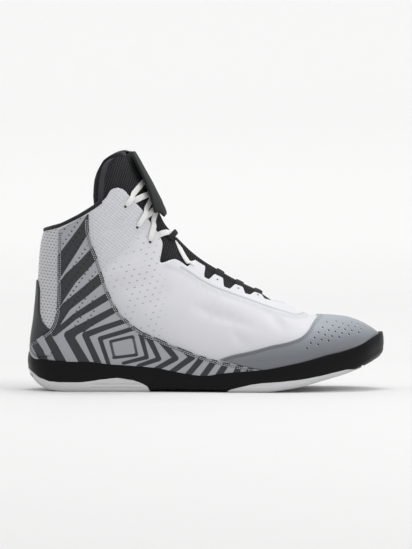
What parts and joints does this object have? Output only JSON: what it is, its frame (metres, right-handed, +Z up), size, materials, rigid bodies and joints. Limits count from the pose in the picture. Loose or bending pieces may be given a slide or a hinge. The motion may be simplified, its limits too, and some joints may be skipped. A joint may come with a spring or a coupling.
{
  "type": "wrestling shoe",
  "caption": "High-top wrestling shoe with a mesh upper, striped side panels, lace tabs, padded tongue and a low rubber sole with split pads.",
  "frame": {"origin": "on the ground under the middle of the shoe's box", "axes": "+X from heel to toe, +Y to the inner side of the foot, +Z up"},
  "size_m": [0.285, 0.0979, 0.1906],
  "materials": {
    "black_rubber": "satin black moulded rubber",
    "white_rubber": "matte white moulded rubber",
    "lining": "dark woven lining",
    "white_mesh": "white open mesh over white foam",
    "toe_overlay": "matte grey synthetic, perforated",
    "striped_overlay": "satin printed film, dark and light grey stripes",
    "dark_overlay": "matte dark grey synthetic",
    "white_overlay": "satin white film",
    "binding": "black woven tape",
    "tongue_fabric": "dark ribbed mesh",
    "cover_fabric": "black smooth knit",
    "lace_fabric": "flat white woven lace"
  },
  "bodies": {
    "root": {"sole_unit": "black_rubber", "heel_pod": "white_rubber", "forefoot_pod": "white_rubber", "insole": "lining", "upper": "white_mesh", "toe_cap": "toe_overlay", "quarter_panel_lateral": "striped_overlay", "quarter_panel_medial": "striped_overlay", "heel_counter": "dark_overlay", "eyestay": "white_overlay", "collar_binding": "binding", "tongue": "tongue_fabric", "tongue_cover": "cover_fabric", "lace": "lace_fabric"}
  },
  "joints": []
}
